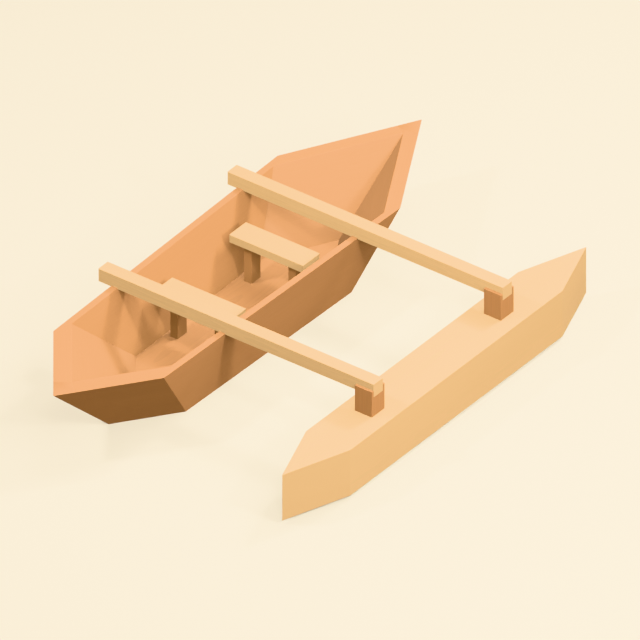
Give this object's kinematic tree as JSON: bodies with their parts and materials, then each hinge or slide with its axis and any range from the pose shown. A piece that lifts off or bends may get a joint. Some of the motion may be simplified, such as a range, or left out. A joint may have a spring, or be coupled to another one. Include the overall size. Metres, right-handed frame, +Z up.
{
  "type": "outrigger canoe",
  "caption": "Open flat-planked canoe, pointed at both ends, with seat boards on legs, and a pointed float to starboard on posts under crossbeams.",
  "frame": {"origin": "under the middle of the hull's length, on its centre line, on the underside of the hull's bottom plank", "axes": "+X to the bow, +Y to port, away from the float, +Z up"},
  "size_m": [4, 2.35, 0.64],
  "materials": {
    "dark_wood": "smooth matte, orange brown",
    "light_wood": "smooth matte, pale"
  },
  "bodies": {
    "root": {"hull_bottom": "dark_wood", "bow_port": "dark_wood", "side_port": "dark_wood", "stern_port": "dark_wood", "bow_starboard": "dark_wood", "side_starboard": "dark_wood", "stern_starboard": "dark_wood", "stem_bow": "dark_wood", "stem_stern": "dark_wood", "leg_fore_port": "dark_wood", "leg_fore_starboard": "dark_wood", "leg_aft_port": "dark_wood", "leg_aft_starboard": "dark_wood", "post_fore": "dark_wood", "post_aft": "dark_wood", "seat_fore": "light_wood", "seat_aft": "light_wood", "beam_fore": "light_wood", "beam_aft": "light_wood", "float": "light_wood"}
  },
  "joints": []
}
